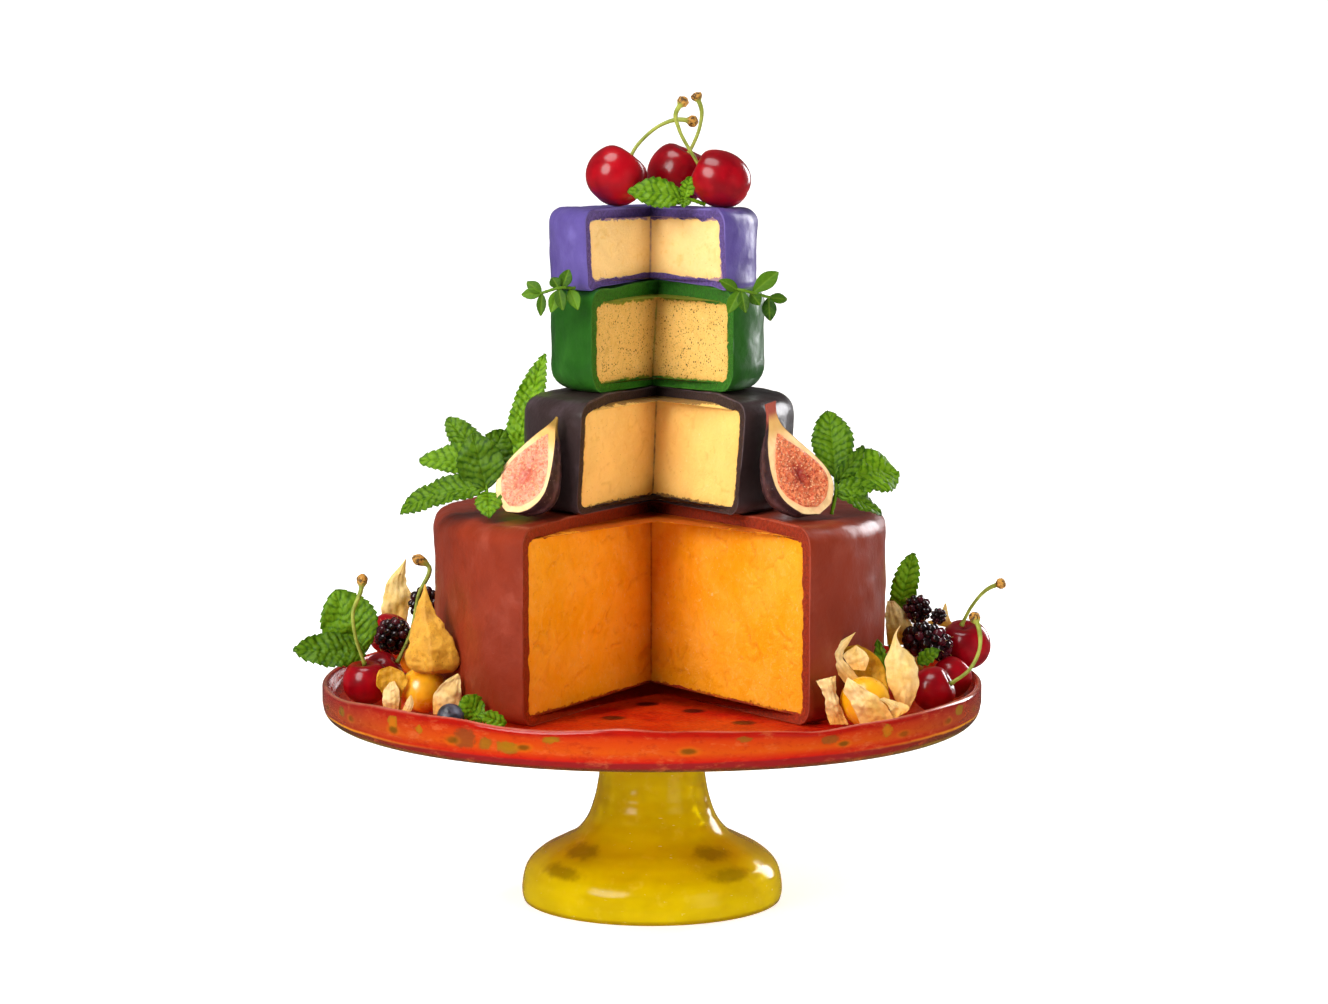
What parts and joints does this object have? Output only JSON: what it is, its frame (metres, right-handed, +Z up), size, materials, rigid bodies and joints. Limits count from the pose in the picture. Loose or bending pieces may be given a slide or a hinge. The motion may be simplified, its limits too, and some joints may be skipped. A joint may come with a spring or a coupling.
{
  "type": "celebration cheese cake on a glass stand",
  "caption": "Stacked waxed cheese wheels with a wedge cut from the front of each, dressed with fruit and herbs, on a footed glass stand.",
  "frame": {"origin": "centre of the foot's underside, on the surface it stands on", "axes": "+Z up through the stack, -Y towards the cut fronts of the cheeses, +X to the right seen from the front"},
  "size_m": [0.3003, 0.2796, 0.3431],
  "materials": {
    "plate_glass": "clear pressed glass, red to orange",
    "foot_glass": "clear pressed glass, yellow",
    "wax_red": "smooth satin wax",
    "wax_black": "smooth satin wax",
    "wax_green": "smooth satin wax",
    "wax_purple": "smooth satin wax",
    "cheese_red": "moist crumbly cut cheese",
    "cheese_black": "moist smooth cut cheese",
    "cheese_green": "moist cut cheese with dark herb specks",
    "cheese_purple": "moist smooth cut cheese",
    "cherry": "glossy fruit skin",
    "cherry_stem": "green stalk with a brown dry end",
    "bramble": "glossy drupelets",
    "ground_cherry": "waxy fruit skin",
    "husk": "dry veined papery husk",
    "fig_skin": "bloomed dark skin with a pale rind",
    "fig_pulp": "moist seedy pulp",
    "mint": "crinkled veined leaf",
    "oregano": "small smooth leaf",
    "blueberry": "bloomed dark skin"
  },
  "bodies": {
    "root": {"blueberry": "blueberry", "bramble_left_back": "bramble", "bramble_left_front": "bramble", "bramble_right_back": "bramble", "bramble_right_front": "bramble", "cheese_black": "cheese_black", "cheese_green": "cheese_green", "cheese_purple": "cheese_purple", "cheese_red": "cheese_red", "cherry_left_back": "cherry", "cherry_left_front": "cherry", "cherry_left_mid": "cherry", "cherry_right_far": "cherry", "cherry_right_front": "cherry", "cherry_right_mid": "cherry", "cherry_right_rim": "cherry", "cherry_top_back": "cherry", "cherry_top_left": "cherry", "cherry_top_right": "cherry", "fig_left": "fig_skin", "fig_pulp_left": "fig_pulp", "fig_pulp_right": "fig_pulp", "fig_right": "fig_skin", "ground_cherry_left": "ground_cherry", "ground_cherry_left_back": "ground_cherry", "ground_cherry_right": "ground_cherry", "ground_cherry_right_back": "ground_cherry", "husk_left_lantern": "husk", "husk_left_petal": "husk", "husk_left_petal_right": "husk", "husk_left_tall": "husk", "husk_right_back": "husk", "husk_right_broad": "husk", "husk_right_curled": "husk", "husk_right_front": "husk", "husk_right_low": "husk", "husk_right_tall": "husk", "mint_left": "mint", "mint_left_back": "mint", "mint_plate_left": "mint", "mint_plate_right": "mint", "mint_plate_round": "mint", "mint_right": "mint", "mint_top": "mint", "oregano_left": "oregano", "oregano_right": "oregano", "stand_foot": "foot_glass", "stand_plate": "plate_glass", "stem_left_front": "cherry_stem", "stem_left_mid": "cherry_stem", "stem_right_front": "cherry_stem", "stem_right_rim": "cherry_stem", "stem_top_back": "cherry_stem", "stem_top_left": "cherry_stem", "stem_top_right": "cherry_stem", "wax_black": "wax_black", "wax_green": "wax_green", "wax_purple": "wax_purple", "wax_red": "wax_red"}
  },
  "joints": []
}
